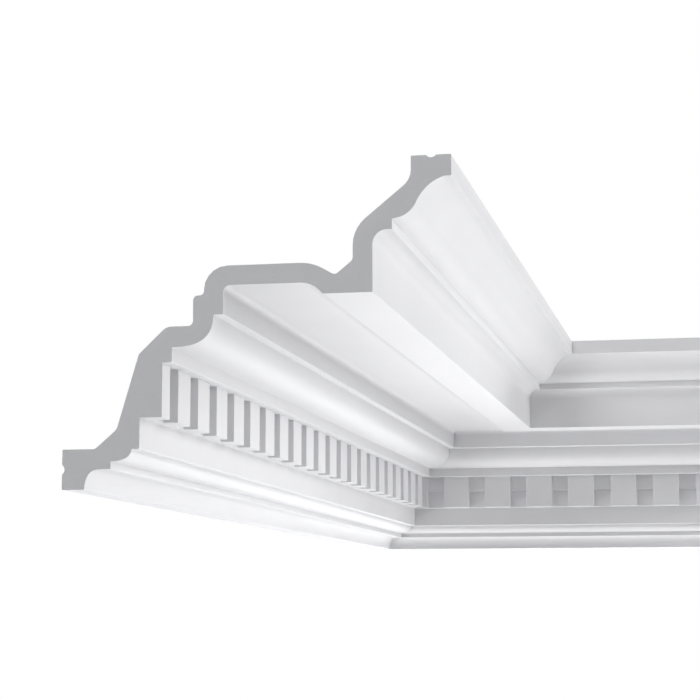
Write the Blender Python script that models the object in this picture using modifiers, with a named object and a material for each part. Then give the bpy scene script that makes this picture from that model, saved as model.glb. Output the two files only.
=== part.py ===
"""A dentil cornice in white polyurethane foam, turned round an inside corner of a room.

Two lengths of one moulding meet in a mitre: a long length on one wall and a short
return on the next. Both are a bent shell, open behind, that touches the wall with its
foot and the ceiling with its nose. The teeth of the dentil band are cast in one with it.

Metres, +Z up. The section is drawn with x as the distance from the wall and z as the
height, zero at the ceiling. The long length's wall is the plane x = 0, and the origin
is the middle of its flat wall face, between the glue groove and the top of the foot.
"""

import math

import bmesh
import bpy
from mathutils import Matrix, Vector

COLLECTION_NAME = "dentil_cornice_corner"

# Lengths along the two walls, from the corner of the room to the square ends
LONG_LENGTH = 1.044
RETURN_LENGTH = 0.414
MITRE_GAP = 0.0003

# Drops of the front, from the ceiling down
NOSE_DROP = 0.0130
CYMA_DROP = 0.0245
FILLET_DROP = 0.0064
CORONA_DROP = 0.0376
DRIP_RISE = 0.0071
BED_DROP = 0.0177
OVOLO_DROP = 0.0192
UPPER_FASCIA_DROP = 0.0091
DENTIL_DROP = 0.0330
LOWER_FASCIA_DROP = 0.0189
BEAD_DROP = 0.0073
BEAD_FILLET_DROP = 0.0047
FOOT_COVE_DROP = 0.0121

# Runs of the front, from the wall outwards
FOOT_RUN = 0.0142
FOOT_COVE_RUN = 0.0088
BEAD_SHELF_RUN = 0.0076
BEAD_RUN = 0.0130
BEAD_SETBACK = 0.0049
DENTIL_DEPTH = 0.0138
DENTIL_SETBACK = 0.0058
OVOLO_RUN = 0.0257
BED_RUN = 0.0060
DRIP_RUN = 0.0610
SOFFIT_RUN = 0.0305
CORONA_SETBACK = 0.0118
CYMA_RUN = 0.0319
LIP_RUN = 0.0040

# Curves of the front
CYMA_RADIUS = 0.0161
CYMA_SWEEP = math.radians(66)
CORONA_COVE_RADIUS = 0.0088
DRIP_COVE_RADIUS = 0.0164
DRIP_INNER_RADIUS = 0.0044
ROUND_PULL = 0.5523
OVOLO_PULLS = (0.57, 0.83)
BEAD_PULLS = (0.44, 0.79)
FOOT_COVE_PULLS = (0.50, 0.71)

# The shell behind, its two contact flanges and their glue grooves
SHELL = 0.0120
FLANGE = 0.0244
SHELF_RUN = 0.0206
VALLEY_SLOPE = math.radians(30)
GROOVE_WIDTH = 0.0058
GROOVE_DEPTH = 0.0016

# How far the back's corners lie from the front's, as multiples of the shell's thickness
NOSE_WEB = 0.10
CORONA_WEB = 0.08
CORONA_FOOT = 1.65
VALLEY_SETBACK = 1.90
VALLEY_WEB = 0.92
OVOLO_WEB = 1.06
UPPER_FASCIA_WEB = 0.30
DENTIL_WEB = 1.25
DENTIL_TOP_WEB = 0.45
LOWER_FASCIA_WEB = 1.20

# Radii of the back's corners, and the share of a side that its two roundings may take
TIGHT_ROUND = 0.0030
BACK_ROUND = 0.0040
SOFT_ROUND = 0.0080
FLANGE_ROUND = 0.0120
ROUNDED_SHARE = 0.96

# The dentil band: a tooth and a gap repeat, and the gap's back is stepped at half height
TOOTH_WIDTH = 0.0273
GAP_WIDTH = 0.0177
GAP_LEDGE = 0.0044
GAP_STEP = 0.0038
GAP_STEP_DROP = 0.0152
GAP_CLEARANCE = 0.0025
CORNER_TOOTH_WIDTH = 0.0022

# Points along a curve of the front, and along a rounded corner behind
FRONT_STEPS = 8
BACK_STEPS = 4
WELD = 0.00001

WHITE = (0.86, 0.86, 0.85, 1.0)
ROUGHNESS = 0.55

# Where each moulding ends, from the wall outwards
foot_x = FOOT_RUN
shelf_x = foot_x + FOOT_COVE_RUN
bead_inner_x = shelf_x + BEAD_SHELF_RUN
bead_outer_x = bead_inner_x + BEAD_RUN
lower_fascia_x = bead_outer_x + BEAD_SETBACK
dentil_x = lower_fascia_x + DENTIL_DEPTH
upper_fascia_x = dentil_x + DENTIL_SETBACK
ovolo_x = upper_fascia_x + OVOLO_RUN
bed_x = ovolo_x + BED_RUN
drip_x = bed_x + DRIP_RUN
corona_x = drip_x + SOFFIT_RUN
fillet_x = corona_x + CORONA_SETBACK
cyma_x = fillet_x + CYMA_RUN
nose_x = cyma_x + LIP_RUN

# Where each moulding ends, from the ceiling down
nose_z = -NOSE_DROP
cyma_z = nose_z - CYMA_DROP
fillet_z = cyma_z - FILLET_DROP
soffit_z = fillet_z - CORONA_DROP
drip_z = soffit_z + DRIP_RISE
bed_z = drip_z - BED_DROP
ovolo_z = bed_z - OVOLO_DROP
upper_fascia_z = ovolo_z - UPPER_FASCIA_DROP
dentil_z = upper_fascia_z - DENTIL_DROP
lower_fascia_z = dentil_z - LOWER_FASCIA_DROP
bead_z = lower_fascia_z - BEAD_DROP
shelf_z = bead_z - BEAD_FILLET_DROP
foot_z = shelf_z - FOOT_COVE_DROP

flange_x = nose_x - FLANGE
flange_z = foot_z + FLANGE
pitch = TOOTH_WIDTH + GAP_WIDTH
first_gap = dentil_x + CORNER_TOOTH_WIDTH


def quarter(start, corner, end, pulls=(ROUND_PULL, ROUND_PULL)):
    """A curve from start to end, whose tangents meet at corner. The pulls say how full it is."""
    start, corner, end = Vector(start), Vector(corner), Vector(end)
    a = start.lerp(corner, pulls[0])
    b = end.lerp(corner, pulls[1])
    points = []
    for i in range(FRONT_STEPS + 1):
        t = i / FRONT_STEPS
        s = 1 - t
        points.append(start * s**3 + a * 3 * s * s * t + b * 3 * s * t * t + end * t**3)
    return [tuple(p) for p in points]


def arc(centre, radius, start, end, steps=FRONT_STEPS):
    """Points of a circle from one angle to another. Zero points away from the wall."""
    turns = [start + (end - start) * i / steps for i in range(steps + 1)]
    return [(centre[0] + radius * math.cos(t), centre[1] + radius * math.sin(t)) for t in turns]


def cyma():
    """The double curve under the nose: a round belly that turns into a hollow by the lip."""
    belly = arc((fillet_x, cyma_z + CYMA_RADIUS), CYMA_RADIUS, -math.pi / 2, CYMA_SWEEP - math.pi / 2)
    turn = Vector(belly[-1])
    normal = Vector((math.sin(CYMA_SWEEP), -math.cos(CYMA_SWEEP)))
    reach = Vector((cyma_x, nose_z)) - turn
    radius = reach.dot(reach) / (2 * reach.dot(normal))
    centre = turn + normal * radius
    start = math.pi / 2 + CYMA_SWEEP
    last = math.atan2(nose_z - centre.y, cyma_x - centre.x)
    return belly + arc(centre, radius, start, last)[1:]


def drip_cove():
    """The large hollow that rises from the soffit to the top of the drip channel."""
    sweep = math.acos(1 - DRIP_RISE / DRIP_COVE_RADIUS)
    centre = (drip_x - DRIP_COVE_RADIUS * math.sin(sweep), drip_z - DRIP_COVE_RADIUS)
    return arc(centre, DRIP_COVE_RADIUS, math.pi / 2, math.pi / 2 - sweep)


def front_outline():
    """The face of the moulding, from the foot on the wall out to the ceiling."""
    cove = CORONA_COVE_RADIUS
    inner = DRIP_INNER_RADIUS
    return [
        (0, foot_z),
        *quarter((foot_x, foot_z), (foot_x, shelf_z), (shelf_x, shelf_z), FOOT_COVE_PULLS),
        (bead_inner_x, shelf_z),
        *quarter((bead_inner_x, bead_z), (bead_outer_x, bead_z), (bead_outer_x, lower_fascia_z), BEAD_PULLS),
        (lower_fascia_x, lower_fascia_z),
        (lower_fascia_x, dentil_z),
        (dentil_x, dentil_z),
        (dentil_x, upper_fascia_z),
        (upper_fascia_x, upper_fascia_z),
        *quarter((upper_fascia_x, ovolo_z), (ovolo_x, ovolo_z), (ovolo_x, bed_z), OVOLO_PULLS),
        (bed_x, bed_z),
        *quarter((bed_x, drip_z - inner), (bed_x, drip_z), (bed_x + inner, drip_z)),
        *drip_cove(),
        (corona_x, soffit_z),
        *quarter((corona_x, fillet_z - cove), (corona_x, fillet_z), (corona_x + cove, fillet_z)),
        (fillet_x, fillet_z),
        *cyma(),
        (nose_x, nose_z),
        (nose_x, 0),
    ]


def rounded(corners):
    """Turns (x, z, radius) corners into points, each radius as an arc that its sides can hold."""
    spots = [Vector((x, z)) for x, z, _ in corners]
    sides = [b - a for a, b in zip(spots, spots[1:])]
    halves = [(-a).angle(b) / 2 for a, b in zip(sides, sides[1:])]
    wants = [0] + [c[2] / math.tan(h) for c, h in zip(corners[1:-1], halves)] + [0]
    shares = [
        min(1, ROUNDED_SHARE * side.length / max(before + after, WELD))
        for side, before, after in zip(sides, wants, wants[1:])
    ]
    points = [tuple(spots[0])]
    for i, half in enumerate(halves, start=1):
        back = -sides[i - 1].normalized()
        ahead = sides[i].normalized()
        reach = wants[i] * min(shares[i - 1], shares[i])
        bow = reach * math.tan(half)
        centre = spots[i] + (back + ahead).normalized() * bow / math.sin(half)
        start = spots[i] + back * reach - centre
        turn = start.angle_signed(spots[i] + ahead * reach - centre)
        first = math.atan2(start.y, start.x)
        points += arc(centre, bow, first, first - turn, BACK_STEPS)
    return points + [tuple(spots[-1])]


def back_outline():
    """The open back of the shell, from the ceiling flange down to the wall flange."""
    valley_x = corona_x - VALLEY_SETBACK * SHELL
    valley_z = soffit_z + VALLEY_WEB * SHELL
    drip_back_z = drip_z + SHELL
    slope_x = valley_x - (drip_back_z - valley_z) / math.tan(VALLEY_SLOPE)
    ovolo_back_x = ovolo_x - OVOLO_WEB * SHELL
    ovolo_back_z = ovolo_z + OVOLO_WEB * SHELL
    return rounded([
        (flange_x, 0, 0),
        (flange_x, nose_z - NOSE_WEB * SHELL, FLANGE_ROUND),
        (corona_x - SHELL, fillet_z + CORONA_WEB * SHELL, CORONA_COVE_RADIUS + SHELL),
        (corona_x - SHELL, soffit_z + CORONA_FOOT * SHELL, BACK_ROUND),
        (valley_x, valley_z, TIGHT_ROUND),
        (slope_x, drip_back_z, DRIP_COVE_RADIUS + SHELL),
        (bed_x - SHELL, drip_back_z, DRIP_INNER_RADIUS + SHELL),
        (bed_x - SHELL, bed_z + SHELL, TIGHT_ROUND),
        (ovolo_back_x, bed_z + SHELL, TIGHT_ROUND),
        (ovolo_back_x, ovolo_back_z, TIGHT_ROUND),
        (upper_fascia_x - UPPER_FASCIA_WEB * SHELL, ovolo_back_z, SOFT_ROUND),
        (dentil_x - DENTIL_WEB * SHELL, upper_fascia_z + DENTIL_TOP_WEB * SHELL, BACK_ROUND),
        (lower_fascia_x - LOWER_FASCIA_WEB * SHELL, lower_fascia_z + SHELL, SOFT_ROUND),
        (SHELF_RUN, flange_z, BACK_ROUND),
        (0, flange_z, 0),
    ])


def groove(centre, along, inwards):
    """A shallow round groove for the glue, in a contact face, run in the direction along."""
    half = GROOVE_WIDTH / 2
    radius = (half * half + GROOVE_DEPTH * GROOVE_DEPTH) / (2 * GROOVE_DEPTH)
    along, inwards = Vector(along), Vector(inwards)
    middle = Vector(centre) - inwards * (radius - GROOVE_DEPTH)
    sweep = math.asin(half / radius)
    turns = [sweep * (2 * i / BACK_STEPS - 1) for i in range(BACK_STEPS + 1)]
    return [tuple(middle + (along * math.sin(t) + inwards * math.cos(t)) * radius) for t in turns]


def section_outline():
    """The closed section, front, ceiling groove, back and wall groove."""
    ceiling_groove = groove((nose_x - FLANGE / 2, 0), (-1, 0), (0, -1))
    wall_groove = groove((0, foot_z + FLANGE / 2), (0, -1), (1, 0))
    return front_outline() + ceiling_groove + back_outline() + wall_groove


def gap_outline():
    """The section of one gap between two teeth, drawn clear of the tooth's face and underside."""
    lower_back_x = lower_fascia_x + GAP_LEDGE
    upper_back_x = lower_back_x + GAP_STEP
    step_z = upper_fascia_z - GAP_STEP_DROP
    clear_x = dentil_x + GAP_CLEARANCE
    clear_z = dentil_z - GAP_CLEARANCE
    return [
        (lower_back_x, clear_z),
        (clear_x, clear_z),
        (clear_x, upper_fascia_z),
        (upper_back_x, upper_fascia_z),
        (upper_back_x, step_z),
        (lower_back_x, step_z),
    ]


def prism(name, outline, near, far):
    """A mesh of the outline run from near to far along its own z, with welded caps."""
    drawing = bpy.data.curves.new(name + "_drawing", "CURVE")
    drawing.dimensions = "2D"
    drawing.fill_mode = "BOTH"
    drawing.extrude = (far - near) / 2
    line = drawing.splines.new("POLY")
    line.points.add(len(outline) - 1)
    for point, (x, z) in zip(line.points, outline):
        point.co = (x, z, 0, 1)
    line.use_cyclic_u = True
    carrier = bpy.data.objects.new(name + "_drawing", drawing)
    bpy.context.scene.collection.objects.link(carrier)
    evaluated = carrier.evaluated_get(bpy.context.evaluated_depsgraph_get())
    mesh = bpy.data.meshes.new_from_object(evaluated)
    bpy.data.objects.remove(carrier)
    bpy.data.curves.remove(drawing)
    mesh.name = name
    mesh.transform(Matrix.Translation((0, 0, (near + far) / 2)))
    shape = bmesh.new()
    shape.from_mesh(mesh)
    bmesh.ops.remove_doubles(shape, verts=shape.verts, dist=WELD)
    bmesh.ops.recalc_face_normals(shape, faces=shape.faces)
    shape.to_mesh(mesh)
    shape.free()
    return mesh


def cut_mitre(mesh, side):
    """Cuts the mesh at 45 degrees through the corner of the room, less half the mitre gap."""
    shape = bmesh.new()
    shape.from_mesh(mesh)
    normal = Vector((1, 0, -side)).normalized()
    cut = bmesh.ops.bisect_plane(
        shape,
        geom=[*shape.verts, *shape.edges, *shape.faces],
        plane_co=-normal * MITRE_GAP / 2,
        plane_no=normal,
        clear_outer=True,
    )
    rim = [e for e in cut["geom_cut"] if isinstance(e, bmesh.types.BMEdge)]
    bmesh.ops.holes_fill(shape, edges=rim)
    bmesh.ops.recalc_face_normals(shape, faces=shape.faces)
    shape.to_mesh(mesh)
    shape.free()


def place(name, mesh, collection, corner):
    """Makes a mesh an object of the collection, at the corner of the room."""
    piece = bpy.data.objects.new(name, mesh)
    collection.objects.link(piece)
    piece.parent = corner
    return piece


def primer(name):
    """The factory primer: white, slightly rough."""
    material = bpy.data.materials.new(name)
    material.use_nodes = True
    shader = material.node_tree.nodes["Principled BSDF"]
    shader.inputs["Base Color"].default_value = WHITE
    shader.inputs["Roughness"].default_value = ROUGHNESS
    shader.inputs["Metallic"].default_value = 0.0
    return material


def make_length(name, length, side, onto_wall, along_wall, collection, cutters, corner):
    """One length of the cornice. Side is 1 or -1: which way its own z leaves the corner."""
    mesh = prism(name, section_outline(), *sorted((0, side * length)))
    cut_mitre(mesh, side)
    mesh.transform(onto_wall)
    piece = place(name, mesh, collection, corner)
    piece.data.materials.append(primer(name + "_primer"))

    gap_ends = sorted((side * first_gap, side * (first_gap + GAP_WIDTH)))
    gap_mesh = prism(name + "_gap", gap_outline(), *gap_ends)
    gap_mesh.transform(onto_wall)
    gaps = place(name + "_gaps", gap_mesh, cutters, corner)
    gaps.hide_render = True
    gaps.display_type = "WIRE"
    row = gaps.modifiers.new("row_of_gaps", "ARRAY")
    row.count = math.ceil((length - first_gap) / pitch)
    row.use_relative_offset = False
    row.use_constant_offset = True
    row.constant_offset_displace = along_wall * pitch

    cut = piece.modifiers.new("gaps_between_teeth", "BOOLEAN")
    cut.operation = "DIFFERENCE"
    cut.object = gaps
    return piece


def main():
    for old in list(bpy.data.objects):
        bpy.data.objects.remove(old, do_unlink=True)
    collection = bpy.data.collections.new(COLLECTION_NAME)
    cutters = bpy.data.collections.new(COLLECTION_NAME + "_cutters")
    bpy.context.scene.collection.children.link(collection)
    bpy.context.scene.collection.children.link(cutters)

    flat_width = (FLANGE - GROOVE_WIDTH) / 2
    corner = bpy.data.objects.new("room_corner", None)
    corner.location = (0, LONG_LENGTH / 2, -(flange_z - flat_width / 2))
    collection.objects.link(corner)

    # The section's x, y and z on each wall, as the columns of a turn
    long_wall = Matrix(((1, 0, 0, 0), (0, 0, -1, 0), (0, 1, 0, 0), (0, 0, 0, 1)))
    return_wall = Matrix(((0, 0, -1, 0), (-1, 0, 0, 0), (0, 1, 0, 0), (0, 0, 0, 1)))
    rooms = (collection, cutters, corner)
    make_length("long_length", LONG_LENGTH, 1, long_wall, Vector((0, -1, 0)), *rooms)
    make_length("return_length", RETURN_LENGTH, -1, return_wall, Vector((1, 0, 0)), *rooms)


main()
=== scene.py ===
# %% [markdown]
# # A dentil cornice round an inside corner
#
# A cornice covers the joint between a wall and a ceiling. This one is moulded in rigid foam and
# primed white. It is hollow behind: only its foot touches the wall and only its nose touches the
# ceiling. Two lengths of the same moulding meet in a mitre where two walls meet.
#
# The plain solids of both lengths exist already. They are loaded first and never moved or changed.
# The cells below draw the same moulding again, finely, and then give it its finish, its light and
# a camera.

# %% Load the solids
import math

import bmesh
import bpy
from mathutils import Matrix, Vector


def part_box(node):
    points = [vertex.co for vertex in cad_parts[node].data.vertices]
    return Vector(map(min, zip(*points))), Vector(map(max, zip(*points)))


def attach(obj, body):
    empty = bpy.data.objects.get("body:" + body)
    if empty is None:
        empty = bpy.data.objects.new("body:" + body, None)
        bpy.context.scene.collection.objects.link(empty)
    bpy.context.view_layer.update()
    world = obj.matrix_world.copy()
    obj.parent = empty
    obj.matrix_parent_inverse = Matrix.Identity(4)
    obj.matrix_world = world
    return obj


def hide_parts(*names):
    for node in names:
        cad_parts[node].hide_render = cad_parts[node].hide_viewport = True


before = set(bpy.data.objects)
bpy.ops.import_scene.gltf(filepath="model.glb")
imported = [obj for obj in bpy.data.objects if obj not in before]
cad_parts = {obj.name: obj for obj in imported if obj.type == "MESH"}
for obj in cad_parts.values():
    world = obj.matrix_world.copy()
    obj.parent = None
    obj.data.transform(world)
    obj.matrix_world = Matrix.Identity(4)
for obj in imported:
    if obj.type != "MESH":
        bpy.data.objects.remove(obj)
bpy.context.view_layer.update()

# %% [markdown]
# ## Places
#
# Everything is placed from the solids, so nothing has to be fitted afterwards. The long length
# runs along the wall on the left, towards the corner of the room, and the return runs to the right
# from there. A section is measured as a distance out from the wall and a height under the ceiling.

MM = 0.001

long_low, long_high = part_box("long_length")
return_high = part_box("return_length")[1]
wall_x = long_low.x
front_y = long_low.y
corner_y = return_high.y
ceiling_z = long_high.z
return_end_x = return_high.x
long_run = corner_y - front_y
print(f"long arm {long_run / MM:.1f} mm, return {(return_end_x - wall_x) / MM:.1f} mm")
print(f"out {(long_high.x - wall_x) / MM:.1f} mm, down {(ceiling_z - long_low.z) / MM:.1f} mm")

# %% [markdown]
# ## The camera
#
# The camera stands in the room, a little lower than the cornice, and looks up at it along the long
# arm. A long lens keeps the mouldings nearly parallel. Its place and its turn were worked out from
# the edges of both arms as they run away from the viewer. A camera that isn't turned looks
# straight down, so a quarter turn comes first.

# %% Set the camera
CAMERA_FROM_WALL = 406.6 * MM
CAMERA_FROM_CORNER = 2172.7 * MM
CAMERA_BELOW_CEILING = 274.2 * MM
CAMERA_TURN = math.radians(11.464)
CAMERA_TILT = math.radians(7.826)
QUARTER_TURN = math.pi / 2

# A lens and a sensor are given in millimetres
SENSOR_WIDTH = 36.0
FOCAL_LENGTH = 101.04

camera_x = wall_x + CAMERA_FROM_WALL
camera_y = corner_y - CAMERA_FROM_CORNER
camera_z = ceiling_z - CAMERA_BELOW_CEILING
bpy.ops.object.camera_add(
    location=(camera_x, camera_y, camera_z),
    rotation=(QUARTER_TURN + CAMERA_TILT, 0, CAMERA_TURN),
)
camera = bpy.context.object
camera.name = "camera"
camera.data.sensor_width = SENSOR_WIDTH
camera.data.lens = FOCAL_LENGTH
bpy.context.scene.camera = camera
print("camera at", [round(c, 3) for c in camera.location])

# %% [markdown]
# ## The sizes of the moulding
#
# A profile is a row of small mouldings, and a joiner writes each as a drop and a run. From the
# foot on the wall the profile goes through a cove, a bead, a plain fascia, the teeth of the dentil
# band, a second fascia, a large hollow, the drip channel under the corona, the corona itself, and
# the double curve of the cyma up to the nose at the ceiling.

# %% Drops, from the ceiling down
NOSE_DROP = 13.0 * MM
CYMA_DROP = 24.5 * MM
FILLET_DROP = 6.4 * MM
CORONA_DROP = 37.6 * MM
DRIP_RISE = 7.1 * MM
BED_DROP = 17.7 * MM
OVOLO_DROP = 19.2 * MM
UPPER_FASCIA_DROP = 9.1 * MM
DENTIL_DROP = 33.0 * MM
LOWER_FASCIA_DROP = 18.9 * MM
BEAD_DROP = 7.3 * MM
BEAD_FILLET_DROP = 4.7 * MM
FOOT_COVE_DROP = 12.1 * MM

nose_z = ceiling_z - NOSE_DROP
cyma_z = nose_z - CYMA_DROP
fillet_z = cyma_z - FILLET_DROP
soffit_z = fillet_z - CORONA_DROP
drip_z = soffit_z + DRIP_RISE
bed_z = drip_z - BED_DROP
ovolo_z = bed_z - OVOLO_DROP
upper_fascia_z = ovolo_z - UPPER_FASCIA_DROP
dentil_z = upper_fascia_z - DENTIL_DROP
lower_fascia_z = dentil_z - LOWER_FASCIA_DROP
bead_z = lower_fascia_z - BEAD_DROP
shelf_z = bead_z - BEAD_FILLET_DROP
foot_z = shelf_z - FOOT_COVE_DROP
print(f"the foot ends {(foot_z - long_low.z) / MM:+.3f} mm from the solid's")

# %% Runs, from the wall outwards
FOOT_RUN = 14.2 * MM
FOOT_COVE_RUN = 8.8 * MM
BEAD_SHELF_RUN = 7.6 * MM
BEAD_RUN = 13.0 * MM
BEAD_SETBACK = 4.9 * MM
DENTIL_DEPTH = 13.8 * MM
DENTIL_SETBACK = 5.8 * MM
OVOLO_RUN = 25.7 * MM
BED_RUN = 6.0 * MM
DRIP_RUN = 61.0 * MM
SOFFIT_RUN = 30.5 * MM
CORONA_SETBACK = 11.8 * MM
CYMA_RUN = 31.9 * MM
LIP_RUN = 4.0 * MM

foot_x = wall_x + FOOT_RUN
shelf_x = foot_x + FOOT_COVE_RUN
bead_inner_x = shelf_x + BEAD_SHELF_RUN
bead_outer_x = bead_inner_x + BEAD_RUN
lower_fascia_x = bead_outer_x + BEAD_SETBACK
dentil_x = lower_fascia_x + DENTIL_DEPTH
upper_fascia_x = dentil_x + DENTIL_SETBACK
ovolo_x = upper_fascia_x + OVOLO_RUN
bed_x = ovolo_x + BED_RUN
drip_x = bed_x + DRIP_RUN
corona_x = drip_x + SOFFIT_RUN
fillet_x = corona_x + CORONA_SETBACK
cyma_x = fillet_x + CYMA_RUN
nose_x = cyma_x + LIP_RUN
print(f"the nose ends {(nose_x - long_high.x) / MM:+.3f} mm from the solid's")

# %% [markdown]
# ## Drawing a section with two strokes
#
# A section could be typed as a list of points, but it is drawn here as on a board. A small plane
# is merged into a single point, and that point is the pen. A straight stroke extrudes it, and a
# round one spins it about a centre. Hollows that aren't part of a circle are extruded in short
# steps along a curve, whose two pulls say how full it is at each end.

# %% The pen
CURVE_STEPS = 14
CORNER_STEPS = 5


def choose(piece):
    """Makes piece the only selected object, and the active one."""
    bpy.ops.object.select_all(action="DESELECT")
    piece.select_set(True)
    bpy.context.view_layer.objects.active = piece


def start_drawing(name, x, z):
    """A point on the front plane, ready in edit mode."""
    bpy.ops.mesh.primitive_plane_add(size=MM, location=(x, front_y, z))
    drawing = bpy.context.object
    drawing.name = name
    bpy.ops.object.transform_apply(location=True, rotation=True, scale=True)
    bpy.ops.object.mode_set(mode="EDIT")
    bpy.ops.mesh.select_mode(type="VERT")
    bpy.ops.mesh.select_all(action="SELECT")
    bpy.ops.mesh.merge(type="CENTER")
    return drawing


def pen():
    """Where the pen is."""
    shape = bmesh.from_edit_mesh(bpy.context.object.data)
    return next(v.co.copy() for v in shape.verts if v.select)


def line_to(x, z):
    """A straight stroke."""
    here = pen()
    stroke = (x - here.x, 0, z - here.z)
    bpy.ops.mesh.extrude_vertices_move(TRANSFORM_OT_translate={"value": stroke})


def round_about(x, z, turn, steps=CURVE_STEPS):
    """A round stroke about a centre. A positive turn, in radians, is anticlockwise."""
    bpy.ops.mesh.spin(steps=steps, angle=turn, center=(x, front_y, z), axis=(0, 1, 0))


def hollow_to(corner, end, pulls):
    """A curved stroke to end, whose two tangents meet at corner."""
    start = pen()
    start, corner, end = Vector((start.x, start.z)), Vector(corner), Vector(end)
    near = start.lerp(corner, pulls[0])
    far = end.lerp(corner, pulls[1])
    for step in range(1, CURVE_STEPS + 1):
        t = step / CURVE_STEPS
        s = 1 - t
        line_to(*(start * s**3 + near * 3 * s * s * t + far * 3 * s * t * t + end * t**3))


print("curves are drawn in", CURVE_STEPS, "steps and corners in", CORNER_STEPS)

# %% [markdown]
# ## The face of the moulding
#
# The stroke starts at the foot, on the wall, and works its way out to the nose.

# %% Draw the face, from the foot to the nose
FOOT_COVE_PULLS = (0.50, 0.71)
BEAD_PULLS = (0.44, 0.79)
OVOLO_PULLS = (0.57, 0.83)
DRIP_INNER_RADIUS = 4.4 * MM
DRIP_COVE_RADIUS = 16.4 * MM
CORONA_COVE_RADIUS = 8.8 * MM
CYMA_RADIUS = 16.1 * MM
CYMA_SWEEP = math.radians(66)


def draw_drip_and_corona():
    """The drip channel, the soffit, and the corona with the cove under its fillet."""
    line_to(bed_x, drip_z - DRIP_INNER_RADIUS)
    round_about(bed_x + DRIP_INNER_RADIUS, drip_z - DRIP_INNER_RADIUS, -QUARTER_TURN)
    sweep = math.acos(1 - DRIP_RISE / DRIP_COVE_RADIUS)
    crown_x = drip_x - DRIP_COVE_RADIUS * math.sin(sweep)
    line_to(crown_x, drip_z)
    round_about(crown_x, drip_z - DRIP_COVE_RADIUS, -sweep)
    line_to(corona_x, soffit_z)
    line_to(corona_x, fillet_z - CORONA_COVE_RADIUS)
    round_about(corona_x + CORONA_COVE_RADIUS, fillet_z - CORONA_COVE_RADIUS, -QUARTER_TURN)
    line_to(fillet_x, fillet_z)


def draw_cyma():
    """A round belly that turns into a hollow under the nose."""
    line_to(fillet_x, cyma_z)
    round_about(fillet_x, cyma_z + CYMA_RADIUS, CYMA_SWEEP)
    here = pen()
    turn = Vector((here.x, here.z))
    normal = Vector((math.sin(CYMA_SWEEP), -math.cos(CYMA_SWEEP)))
    reach = Vector((cyma_x, nose_z)) - turn
    centre = turn + normal * reach.dot(reach) / (2 * reach.dot(normal))
    last = math.atan2(nose_z - centre.y, cyma_x - centre.x)
    round_about(*centre, last - (QUARTER_TURN + CYMA_SWEEP))


long_piece = start_drawing("cornice_long_length", wall_x, foot_z)
line_to(foot_x, foot_z)
hollow_to((foot_x, shelf_z), (shelf_x, shelf_z), FOOT_COVE_PULLS)
line_to(bead_inner_x, shelf_z)
line_to(bead_inner_x, bead_z)
hollow_to((bead_outer_x, bead_z), (bead_outer_x, lower_fascia_z), BEAD_PULLS)
line_to(lower_fascia_x, lower_fascia_z)
line_to(lower_fascia_x, dentil_z)
line_to(dentil_x, dentil_z)
line_to(dentil_x, upper_fascia_z)
line_to(upper_fascia_x, upper_fascia_z)
line_to(upper_fascia_x, ovolo_z)
hollow_to((ovolo_x, ovolo_z), (ovolo_x, bed_z), OVOLO_PULLS)
line_to(bed_x, bed_z)
draw_drip_and_corona()
draw_cyma()
line_to(nose_x, nose_z)
line_to(nose_x, ceiling_z)
print("the pen is at the nose:", [round(c, 4) for c in pen()])

# %% [markdown]
# ## The back
#
# The shell is about 12 mm thick and follows the face with rounder corners, because foam flows into
# a mould badly round tight ones. Both contact faces are 24.4 mm wide, and a shallow groove along
# each takes the glue. Each corner is a straight stroke and then a spin, and the spins share a side
# that is too short for both.

# %% Sizes of the shell
SHELL = 12.0 * MM
FLANGE = 24.4 * MM
SHELF_RUN = 20.6 * MM
VALLEY_SLOPE = math.radians(30)
GROOVE_WIDTH = 5.8 * MM
GROOVE_DEPTH = 1.6 * MM

# How far each corner of the back lies from the face's, in thicknesses of the shell
NOSE_WEB = 0.10
CORONA_WEB = 0.08
CORONA_FOOT = 1.65
VALLEY_SETBACK = 1.90
VALLEY_WEB = 0.92
OVOLO_WEB = 1.06
UPPER_FASCIA_WEB = 0.30
DENTIL_WEB = 1.25
DENTIL_TOP_WEB = 0.45
LOWER_FASCIA_WEB = 1.20

TIGHT_ROUND = 3.0 * MM
BACK_ROUND = 4.0 * MM
SOFT_ROUND = 8.0 * MM
FLANGE_ROUND = 12.0 * MM

# The most of a side that the roundings at its two ends may take up
ROUNDED_SHARE = 0.96

flange_x = nose_x - FLANGE
flange_z = foot_z + FLANGE
groove_half = GROOVE_WIDTH / 2
groove_radius = (groove_half**2 + GROOVE_DEPTH**2) / (2 * GROOVE_DEPTH)
print(f"the shell is {SHELL / MM:.1f} mm thick, and a groove's radius {groove_radius / MM:.1f} mm")


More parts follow.
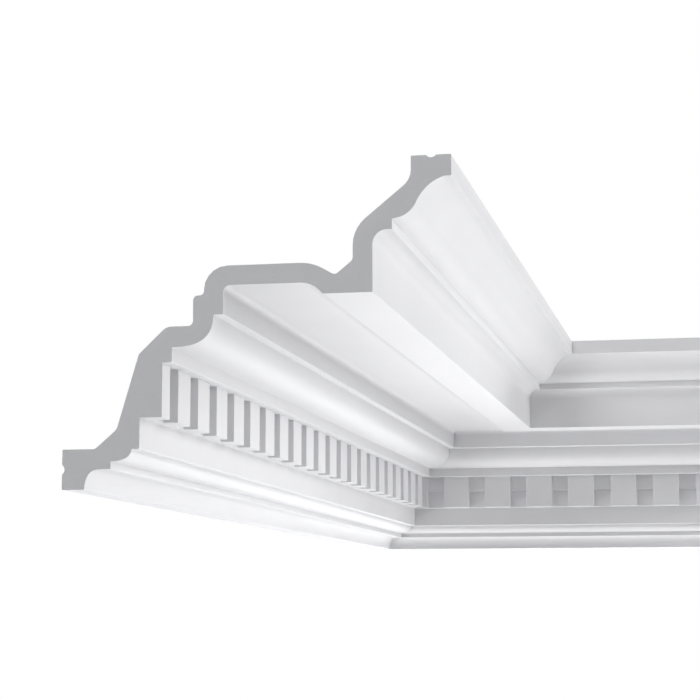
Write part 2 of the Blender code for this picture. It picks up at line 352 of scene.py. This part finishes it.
# %% The corners of the back
def back_corners():
    """The corners of the back and their radii, from the ceiling down to the wall."""
    valley_x = corona_x - VALLEY_SETBACK * SHELL
    valley_z = soffit_z + VALLEY_WEB * SHELL
    drip_back_z = drip_z + SHELL
    slope_x = valley_x - (drip_back_z - valley_z) / math.tan(VALLEY_SLOPE)
    ovolo_back_x = ovolo_x - OVOLO_WEB * SHELL
    ovolo_back_z = ovolo_z + OVOLO_WEB * SHELL
    dentil_back_z = upper_fascia_z + DENTIL_TOP_WEB * SHELL
    return [
        (flange_x, ceiling_z, 0),
        (flange_x, nose_z - NOSE_WEB * SHELL, FLANGE_ROUND),
        (corona_x - SHELL, fillet_z + CORONA_WEB * SHELL, CORONA_COVE_RADIUS + SHELL),
        (corona_x - SHELL, soffit_z + CORONA_FOOT * SHELL, BACK_ROUND),
        (valley_x, valley_z, TIGHT_ROUND),
        (slope_x, drip_back_z, DRIP_COVE_RADIUS + SHELL),
        (bed_x - SHELL, drip_back_z, DRIP_INNER_RADIUS + SHELL),
        (bed_x - SHELL, bed_z + SHELL, TIGHT_ROUND),
        (ovolo_back_x, bed_z + SHELL, TIGHT_ROUND),
        (ovolo_back_x, ovolo_back_z, TIGHT_ROUND),
        (upper_fascia_x - UPPER_FASCIA_WEB * SHELL, ovolo_back_z, SOFT_ROUND),
        (dentil_x - DENTIL_WEB * SHELL, dentil_back_z, BACK_ROUND),
        (lower_fascia_x - LOWER_FASCIA_WEB * SHELL, lower_fascia_z + SHELL, SOFT_ROUND),
        (wall_x + SHELF_RUN, flange_z, BACK_ROUND),
        (wall_x, flange_z, 0),
    ]


print("the back has", len(back_corners()), "corners")

# %% Draw the back, from the nose to the foot
def draw_groove(before, centre):
    """A shallow round groove: a stroke to its edge, then a spin about a centre off the face."""
    line_to(*before)
    round_about(*centre, -2 * math.asin(groove_half / groove_radius), CORNER_STEPS)


def draw_rounded(corners):
    """Straight strokes with a spin at each corner."""
    spots = [Vector((x, z)) for x, z, _ in corners]
    sides = [b - a for a, b in zip(spots, spots[1:])]
    halves = [(-a).angle(b) / 2 for a, b in zip(sides, sides[1:])]
    radii = [radius for _, _, radius in corners[1:-1]]
    wants = [0] + [radius / math.tan(half) for radius, half in zip(radii, halves)] + [0]
    shares = [
        min(1, ROUNDED_SHARE * side.length / max(before + after, MM))
        for side, before, after in zip(sides, wants, wants[1:])
    ]
    line_to(*spots[0])
    for i, half in enumerate(halves, start=1):
        back = -sides[i - 1].normalized()
        ahead = sides[i].normalized()
        reach = wants[i] * min(shares[i - 1], shares[i])
        centre = spots[i] + (back + ahead).normalized() * reach / math.cos(half)
        first = spots[i] + back * reach
        last = spots[i] + ahead * reach
        line_to(*first)
        round_about(*centre, -(first - centre).angle_signed(last - centre), CORNER_STEPS)
    line_to(*spots[-1])


groove_x = nose_x - FLANGE / 2
groove_z = foot_z + FLANGE / 2
nose_groove_centre = (groove_x, ceiling_z + groove_radius - GROOVE_DEPTH)
foot_groove_centre = (wall_x - groove_radius + GROOVE_DEPTH, groove_z)
draw_groove((groove_x + groove_half, ceiling_z), nose_groove_centre)
draw_rounded(back_corners())
draw_groove((wall_x, groove_z + groove_half), foot_groove_centre)
bpy.ops.mesh.select_all(action="SELECT")
bpy.ops.mesh.edge_face_add()
bpy.ops.object.mode_set(mode="OBJECT")
section = long_piece.data
print("the section has", len(section.vertices), "points and", len(section.polygons), "face")

# %% [markdown]
# ## Softened arrises
#
# A sharp edge on paper is never sharp in a mould: primer fills the inner corners and rounds the
# outer ones. Bevelling the corners of the flat section, before it is drawn out, rounds every arris
# along the whole length at once. The teeth's own corners wait until the gaps between them are cut.

# %% Round the corners of the section
ARRIS_ROUND = 0.6 * MM
ARRIS_SEGMENTS = 3
SHARP_TURN = math.radians(25)

# Two places nearer than this are the same place
NEAR = 0.02 * MM


def select_where(kind, test):
    """In edit mode, selects the vertices, edges or faces that pass the test, and only those."""
    bpy.ops.mesh.select_mode(type=kind)
    bpy.ops.mesh.select_all(action="DESELECT")
    mesh = bpy.context.object.data
    shape = bmesh.from_edit_mesh(mesh)
    parts = {"VERT": shape.verts, "EDGE": shape.edges, "FACE": shape.faces}[kind]
    chosen = [part for part in parts if test(part)]
    for part in chosen:
        part.select_set(True)
    bmesh.update_edit_mesh(mesh)
    return len(chosen)


def is_sharp_corner(vertex):
    """True where the outline turns sharply, other than at the teeth."""
    before, after = [edge.other_vert(vertex).co - vertex.co for edge in vertex.link_edges]
    at_tooth = abs(vertex.co.x - dentil_x) < NEAR
    return math.pi - before.angle(after) > SHARP_TURN and not at_tooth


choose(long_piece)
bpy.ops.object.mode_set(mode="EDIT")
count = select_where("VERT", is_sharp_corner)
bpy.ops.mesh.bevel(offset=ARRIS_ROUND, segments=ARRIS_SEGMENTS, affect="VERTICES")
print(count, "corners rounded")

# %% [markdown]
# ## Drawing the length out
#
# The face is now extruded along the wall as far as the corner of the room, which gives the blank
# that a real mould would give, with a plain band where the teeth will be.

# %% Extrude the section along the wall
bpy.ops.mesh.select_all(action="SELECT")
bpy.ops.mesh.extrude_region_move(TRANSFORM_OT_translate={"value": (0, long_run, 0)})
bpy.ops.mesh.select_all(action="SELECT")
bpy.ops.mesh.normals_make_consistent(inside=False)
bpy.ops.object.mode_set(mode="OBJECT")
print("the blank has", len(long_piece.data.polygons), "faces")

# %% [markdown]
# ## The teeth
#
# Dentils are the row of small blocks. Blocks could be added to a flat band, but on a moulded
# cornice the gaps are what the mould takes away, and their backs have a step at half height. So
# one cutter is made from a cube, an array repeats it, and a Boolean takes all the gaps at once.

# %% Make the cutter for one gap
TOOTH_WIDTH = 27.3 * MM
GAP_WIDTH = 17.7 * MM
GAP_LEDGE = 4.4 * MM
GAP_STEP = 3.8 * MM
GAP_STEP_DROP = 15.2 * MM
GAP_CLEARANCE = 2.5 * MM
CORNER_TOOTH_WIDTH = 2.2 * MM

# A face looks in a direction when the cosine between its normal and the direction is above this
FACING = 0.99

pitch = TOOTH_WIDTH + GAP_WIDTH
first_gap = dentil_x - wall_x + CORNER_TOOTH_WIDTH
gap_count = math.ceil((long_run - first_gap) / pitch)
lower_back_x = lower_fascia_x + GAP_LEDGE
upper_back_x = lower_back_x + GAP_STEP
step_z = upper_fascia_z - GAP_STEP_DROP
gap_low = Vector((upper_back_x, corner_y - first_gap - GAP_WIDTH, dentil_z - GAP_CLEARANCE))
gap_high = Vector((dentil_x + GAP_CLEARANCE, corner_y - first_gap, upper_fascia_z))
gap_middle = (gap_low + gap_high) / 2


def is_lower_back(face):
    """True for the cutter's face at the back of the gap, under the step."""
    return face.normal.x < -FACING and face.calc_center_median().z < step_z


bpy.ops.mesh.primitive_cube_add(size=1, location=gap_middle, scale=gap_high - gap_low)
cutter = bpy.context.object
bpy.ops.object.transform_apply(location=True, rotation=True, scale=True)
bpy.ops.object.mode_set(mode="EDIT")
bpy.ops.mesh.select_all(action="SELECT")
bpy.ops.mesh.bisect(plane_co=(0, 0, step_z), plane_no=(0, 0, 1))
select_where("FACE", is_lower_back)
bpy.ops.mesh.extrude_region_move(TRANSFORM_OT_translate={"value": (-GAP_STEP, 0, 0)})
bpy.ops.object.mode_set(mode="OBJECT")
print(f"the step is {(upper_fascia_z - step_z) / MM:.1f} mm under the top of the gap")

# %% Repeat the cutter along the wall
row = cutter.modifiers.new("row", "ARRAY")
row.count = gap_count
row.use_relative_offset = False
row.use_constant_offset = True
row.constant_offset_displace = (0, -pitch, 0)
bpy.ops.object.modifier_apply(modifier=row.name)
print(gap_count, "gaps, a tooth every", round(pitch / MM, 1), "mm")

# %% Cut the gaps
cut = long_piece.modifiers.new("gaps", "BOOLEAN")
cut.operation = "DIFFERENCE"
cut.solver = "EXACT"
cut.object = cutter
choose(long_piece)
bpy.ops.object.modifier_apply(modifier=cut.name)
bpy.data.objects.remove(cutter)
print("after the cut", len(long_piece.data.polygons), "faces")

# %% [markdown]
# ## The teeth's arrises
#
# The teeth are crisper than the long mouldings, but they too come out of a mould. The edges to
# bevel are picked by their place: they lie between the back of a gap and the face of a tooth, and
# they either run round a tooth's side or cross a gap. The long edges of the blank and the sawn end
# are left alone.

# %% Round the edges of the teeth and the gaps
TOOTH_ROUND = 0.35 * MM
TOOTH_SEGMENTS = 2
MERGE_UNDER = 0.005 * MM


def at_gap_side(y):
    """True at the side wall of some gap."""
    along = (corner_y - y - first_gap) % pitch
    return min(along, pitch - along, abs(along - GAP_WIDTH)) < NEAR


def is_tooth_edge(edge):
    """True for the edges of the teeth and of the gaps between them."""
    a, b = (vertex.co for vertex in edge.verts)
    for end in (a, b):
        if not lower_back_x - NEAR < end.x < dentil_x + NEAR:
            return False
        if not dentil_z - NEAR < end.z < upper_fascia_z + NEAR:
            return False
    if abs(a.y - b.y) < NEAR:
        return at_gap_side(a.y)
    at_ends = at_gap_side(a.y) and at_gap_side(b.y)
    along_tooth = abs(a.x - dentil_x) < NEAR and abs(b.x - dentil_x) < NEAR
    return at_ends or along_tooth


bpy.ops.object.mode_set(mode="EDIT")
bpy.ops.mesh.select_all(action="SELECT")
bpy.ops.mesh.remove_doubles(threshold=MERGE_UNDER)
count = select_where("EDGE", is_tooth_edge)
bpy.ops.mesh.bevel(
    offset=TOOTH_ROUND, segments=TOOTH_SEGMENTS, affect="EDGES", clamp_overlap=False
)
print(count, "edges rounded")

# %% [markdown]
# ## The mitre
#
# Both lengths are sawn at 45 degrees through the corner of the room. A real mitre is filled and
# sanded, but the solids keep a joint 0.3 mm wide, so each length is sawn half of that short of the
# corner.

# %% Saw the mitre
MITRE_GAP = 0.3 * MM

room_corner = Vector((wall_x, corner_y, ceiling_z))
mitre_normal = Vector((1, 1, 0)).normalized()
bpy.ops.mesh.select_all(action="SELECT")
bpy.ops.mesh.bisect(
    plane_co=room_corner - mitre_normal * MITRE_GAP / 2,
    plane_no=mitre_normal,
    use_fill=True,
    clear_outer=True,
)
bpy.ops.object.mode_set(mode="OBJECT")
print("the long length has", len(long_piece.data.polygons), "faces")

# %% [markdown]
# ## The return
#
# The return is the same moulding seen in a mirror that stands in the mitre. So the long length is
# copied, mirrored through the wall and turned a quarter about the corner of the room, which lines
# its teeth up with the others, and then sawn square where it ends. Without a window the turn
# operator goes the other way round, so a turn to the left is written as a negative one.

# %% Copy, mirror and turn the long length, and saw it off
choose(long_piece)
bpy.ops.object.duplicate()
return_piece = bpy.context.object
return_piece.name = "cornice_return_length"
bpy.ops.object.mode_set(mode="EDIT")
bpy.ops.mesh.select_all(action="SELECT")
bpy.ops.transform.resize(value=(-1, 1, 1), center_override=room_corner)
bpy.ops.transform.rotate(value=-QUARTER_TURN, orient_axis="Z", center_override=room_corner)
bpy.ops.mesh.bisect(
    plane_co=(return_end_x, 0, 0), plane_no=(1, 0, 0), use_fill=True, clear_outer=True
)
bpy.ops.mesh.select_all(action="SELECT")
bpy.ops.mesh.normals_make_consistent(inside=False)
bpy.ops.object.mode_set(mode="OBJECT")
lengths = (long_piece, return_piece)
for piece in lengths:
    print(piece.name, "measures", [round(side, 4) for side in piece.dimensions])

# %% [markdown]
# ## Smooth where it is round, flat where it is flat
#
# Shading is smoothed across small angles, so that the hollows look round, and weighted normals
# keep the large flat faces flat right up to their rounded arrises.

# %% Smooth the shading
SMOOTH_UNDER = math.radians(35)

for piece in lengths:
    choose(piece)
    bpy.ops.object.shade_smooth_by_angle(angle=SMOOTH_UNDER)
    weighted = piece.modifiers.new("weighted_normals", "WEIGHTED_NORMAL")
    weighted.keep_sharp = True
    bpy.ops.object.modifier_apply(modifier=weighted.name)
    print(piece.name, "has", len(piece.data.polygons), "faces")

# %% [markdown]
# ## Three finishes of one material
#
# The whole cornice is one grey-white foam. Its face has a coat of white primer, sprayed and
# slightly satin. The back keeps the skin that the foam formed against the mould, a little rougher
# and blotched. A sawn end shows the foam itself: light grey, with fine closed cells and the marks
# of the saw.

# %% Helpers for materials
TINT_STOPS = (0.35, 0.65)


def new_material(name, colour, roughness):
    """A plain surface of that colour and roughness, with its node tree and its shader."""
    material = bpy.data.materials.new(name)
    material.use_nodes = True
    tree = material.node_tree
    shader = tree.nodes["Principled BSDF"]
    shader.inputs["Base Color"].default_value = (*colour, 1)
    shader.inputs["Roughness"].default_value = roughness
    return material, tree, shader


def add_noise(tree, scale, detail, roughness=0.5):
    """Noise in the piece's own coordinates. Scale is in lumps a metre."""
    place = tree.nodes.new("ShaderNodeTexCoord")
    noise = tree.nodes.new("ShaderNodeTexNoise")
    noise.inputs["Scale"].default_value = scale
    noise.inputs["Detail"].default_value = detail
    noise.inputs["Roughness"].default_value = roughness
    tree.links.new(place.outputs["Object"], noise.inputs["Vector"])
    return noise.outputs["Fac"]


def add_bump(tree, shader, heights, depth):
    """Raises the surface by depth, in metres, where heights is 1."""
    bump = tree.nodes.new("ShaderNodeBump")
    bump.inputs["Strength"].default_value = 1
    bump.inputs["Distance"].default_value = depth
    tree.links.new(heights, bump.inputs["Height"])
    tree.links.new(bump.outputs["Normal"], shader.inputs["Normal"])


def tint(tree, shader, amounts, dark, light):
    """Colours the surface from dark to light as amounts goes from low to high."""
    ramp = tree.nodes.new("ShaderNodeValToRGB")
    for stop, place, colour in zip(ramp.color_ramp.elements, TINT_STOPS, (dark, light)):
        stop.position = place
        stop.color = (*colour, 1)
    tree.links.new(amounts, ramp.inputs["Fac"])
    tree.links.new(ramp.outputs["Color"], shader.inputs["Base Color"])


print("noise turns into colour between", *TINT_STOPS)

# %% The primed face
PRIMER = (0.702, 0.702, 0.72)
PRIMER_DARK = (0.694, 0.694, 0.712)
PRIMER_LIGHT = (0.71, 0.71, 0.728)
PRIMER_ROUGHNESS = 0.6
PRIMER_GLOSS = 0.3
CLOUDS_A_METRE = 9
CLOUD_DETAIL = 3
PEEL_A_METRE = 900
PEEL_DETAIL = 2
PEEL_DEPTH = 0.02 * MM


def primed_face():
    """White primer, with the fine orange peel of a spray gun and a hardly visible cloudiness."""
    material, tree, shader = new_material("white_primer", PRIMER, PRIMER_ROUGHNESS)
    shader.inputs["Specular IOR Level"].default_value = PRIMER_GLOSS
    clouds = add_noise(tree, CLOUDS_A_METRE, CLOUD_DETAIL)
    tint(tree, shader, clouds, PRIMER_DARK, PRIMER_LIGHT)
    add_bump(tree, shader, add_noise(tree, PEEL_A_METRE, PEEL_DETAIL), PEEL_DEPTH)
    return material


primer = primed_face()
print(primer.name, "has", len(primer.node_tree.nodes), "nodes")

# %% The moulded back
SKIN = (0.66, 0.66, 0.665)
SKIN_DARK = (0.635, 0.635, 0.64)
SKIN_LIGHT = (0.685, 0.685, 0.69)
SKIN_ROUGHNESS = 0.7
BLOTCHES_A_METRE = 22
BLOTCH_DETAIL = 5
PIMPLES_A_METRE = 420
PIMPLE_DETAIL = 4
PIMPLE_DEPTH = 0.10 * MM
SKIN_GRAIN = 0.6


def moulded_back():
    """The foam's own skin, unpainted."""
    material, tree, shader = new_material("foam_skin", SKIN, SKIN_ROUGHNESS)
    blotches = add_noise(tree, BLOTCHES_A_METRE, BLOTCH_DETAIL, SKIN_GRAIN)
    tint(tree, shader, blotches, SKIN_DARK, SKIN_LIGHT)
    pimples = add_noise(tree, PIMPLES_A_METRE, PIMPLE_DETAIL, SKIN_GRAIN)
    add_bump(tree, shader, pimples, PIMPLE_DEPTH)
    return material


skin = moulded_back()
print(skin.name, "has", len(skin.node_tree.nodes), "nodes")

# %% The sawn foam
FOAM = (0.63, 0.633, 0.655)
FOAM_DARK = (0.605, 0.608, 0.63)
FOAM_LIGHT = (0.655, 0.658, 0.68)
FOAM_ROUGHNESS = 0.85
CELLS_A_METRE = 1600
CELL_DETAIL = 4
SAW_MARKS_A_METRE = 2200
SAW_MARK_DETAIL = 3
SAW_MARK_DEPTH = 0.08 * MM
FOAM_GRAIN = 0.7


def sawn_foam():
    """Light grey foam with closed cells, cut open by a saw."""
    material, tree, shader = new_material("sawn_foam", FOAM, FOAM_ROUGHNESS)
    cells = add_noise(tree, CELLS_A_METRE, CELL_DETAIL, FOAM_GRAIN)
    tint(tree, shader, cells, FOAM_DARK, FOAM_LIGHT)
    marks = add_noise(tree, SAW_MARKS_A_METRE, SAW_MARK_DETAIL, FOAM_GRAIN)
    add_bump(tree, shader, marks, SAW_MARK_DEPTH)
    return material


sawn = sawn_foam()
print(sawn.name, "has", len(sawn.node_tree.nodes), "nodes")

# %% [markdown]
# ## Which face gets which finish
#
# The face of the moulding never looks upwards or towards its wall, so a normal is enough to tell
# it from the back. The sawn ends are found by their place. A face keeps the first finish, the
# primer, until it is given another.

# %% Give the faces their finishes
# The sine of the tilt under which a face counts as upright
FLAT = 0.02

finishes = (primer, skin, sawn)


def assign(piece, finish, test):
    """Gives a finish to the faces that pass the test."""
    count = select_where("FACE", test)
    piece.active_material_index = finishes.index(finish)
    bpy.ops.object.material_slot_assign()
    print(piece.name, finish.name, count)


def finish_piece(piece, outwards, end, end_normal):
    """Finishes one length. Outwards leads away from its wall, and end is on its sawn end."""
    for material in finishes:
        piece.data.materials.append(material)

    def is_back(face):
        out = face.normal.dot(outwards)
        return face.normal.z > FLAT or (abs(face.normal.z) <= FLAT and out < -FLAT)

    def is_sawn(face):
        off_end = (face.calc_center_median() - end).dot(end_normal)
        return face.normal.dot(end_normal) > FACING and abs(off_end) < NEAR

    choose(piece)
    bpy.ops.object.mode_set(mode="EDIT")
    assign(piece, skin, is_back)
    assign(piece, sawn, is_sawn)
    bpy.ops.object.mode_set(mode="OBJECT")


right = Vector((1, 0, 0))
front = Vector((0, -1, 0))
finish_piece(long_piece, right, Vector((wall_x, front_y, 0)), front)
finish_piece(return_piece, front, Vector((return_end_x, 0, 0)), right)

# %% [markdown]
# ## Light
#
# A white moulding is read by its shadows alone. Light that came evenly from everywhere would fill
# every recess, and bright walls would throw it on into the next one. So the studio is dim, and a
# few large soft lamps do most of the work. Its floor and its backdrop still have to look pale, so
# both have two strengths: one for what the camera sees, and a much lower one, or none, for what
# lights the piece.

# %% The floor
FLOOR_DROP = 2.4
FLOOR_SIZE = 80.0
FLOOR_GREY = (0.84, 0.84, 0.84)
FLOOR_ROUGHNESS = 0.9
FLOOR_SEEN = 0.6
FLOOR_LIGHT = 0
WHITE = (1, 1, 1, 1)


def seen_and_lighting(tree, seen, lighting):
    """A strength that is one number to the camera and another to everything else."""
    rays = tree.nodes.new("ShaderNodeLightPath")
    strength = tree.nodes.new("ShaderNodeMapRange")
    strength.inputs["To Min"].default_value = lighting
    strength.inputs["To Max"].default_value = seen
    tree.links.new(rays.outputs["Is Camera Ray"], strength.inputs["Value"])
    return strength.outputs["Result"]


def pale_floor():
    """A matt floor that looks paler than it is."""
    material, tree, shader = new_material("pale_floor", FLOOR_GREY, FLOOR_ROUGHNESS)
    shader.inputs["Emission Color"].default_value = WHITE
    strength = seen_and_lighting(tree, FLOOR_SEEN, FLOOR_LIGHT)
    tree.links.new(strength, shader.inputs["Emission Strength"])
    return material


bpy.ops.mesh.primitive_plane_add(size=FLOOR_SIZE, location=(0, 0, ceiling_z - FLOOR_DROP))
floor = bpy.context.object
floor.name = "floor"
floor.data.materials.append(pale_floor())
print(f"the floor is {FLOOR_DROP:.1f} m under the ceiling")

# %% The sky
SKY_SEEN = 1.0
SKY_LIGHT = 0.10

world = bpy.data.worlds.new("studio")
bpy.context.scene.world = world
world.use_nodes = True
background = world.node_tree.nodes["Background"]
background.inputs["Color"].default_value = WHITE
sky_strength = seen_and_lighting(world.node_tree, SKY_SEEN, SKY_LIGHT)
world.node_tree.links.new(sky_strength, background.inputs["Strength"])
print("the sky looks", SKY_SEEN, "and lights", SKY_LIGHT)

# %% [markdown]
# The lamps are square and soft, and most stand far off, so that both ends of an arm are lit alike.
# Two on the right are a little above the cornice: they light the upright faces of the long arm but
# can't get in behind the corona. One in front does the same for the return and for the sawn end.
# Two stand low behind the walls, which aren't there, and light the undersides, and a weak one
# underneath helps them. The one overhead reaches only the back, and the floor, which throws a
# little of its light up again.

# %% The lamps
LOOK_AT = Vector((0.15, 0.10, 0.08))

# The name, the bearing from the right and the rise in degrees, the distance and the size in
# metres, and the power in watts
LAMPS = [
    ("right_lamp", -12, 12, 5.0, 2.6, 100),
    ("right_far_lamp", 45, 10, 5.0, 2.6, 113),
    ("front_lamp", -100, 30, 5.0, 2.6, 95),
    ("low_far_lamp", 85, -15, 5.0, 2.6, 117),
    ("low_left_lamp", 180, -41, 3.0, 1.8, 55),
    ("under_lamp", 45, -70, 2.2, 1.5, 13),
    ("overhead_lamp", 0, 88, 5.0, 2.6, 200),
]


def add_lamp(name, bearing, rise, distance, size, power):
    """A soft square lamp aimed at the cornice."""
    bearing, rise = math.radians(bearing), math.radians(rise)
    level = math.cos(rise)
    away = Vector((level * math.cos(bearing), level * math.sin(bearing), math.sin(rise)))
    bpy.ops.object.light_add(type="AREA", location=LOOK_AT + away * distance)
    lamp = bpy.context.object
    lamp.name = name
    lamp.rotation_euler = away.to_track_quat("Z", "Y").to_euler()
    lamp.data.size = size
    lamp.data.energy = power
    lamp.visible_camera = False
    print(name, [round(c, 2) for c in lamp.location], power, "W")


for lamp_values in LAMPS:
    add_lamp(*lamp_values)

# %% Show colours as they are
view = bpy.context.scene.view_settings
view.view_transform = "Standard"
print("view transform:", view.view_transform)

# %% [markdown]
# ## Handing over
#
# Each drawn length stands for the solid of the same length and rides with it.

# %% Tie the pieces to the solids
for piece, node in ((long_piece, "long_length"), (return_piece, "return_length")):
    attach(piece, "root")
    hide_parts(node)
    print(piece.name, "stands for", node)
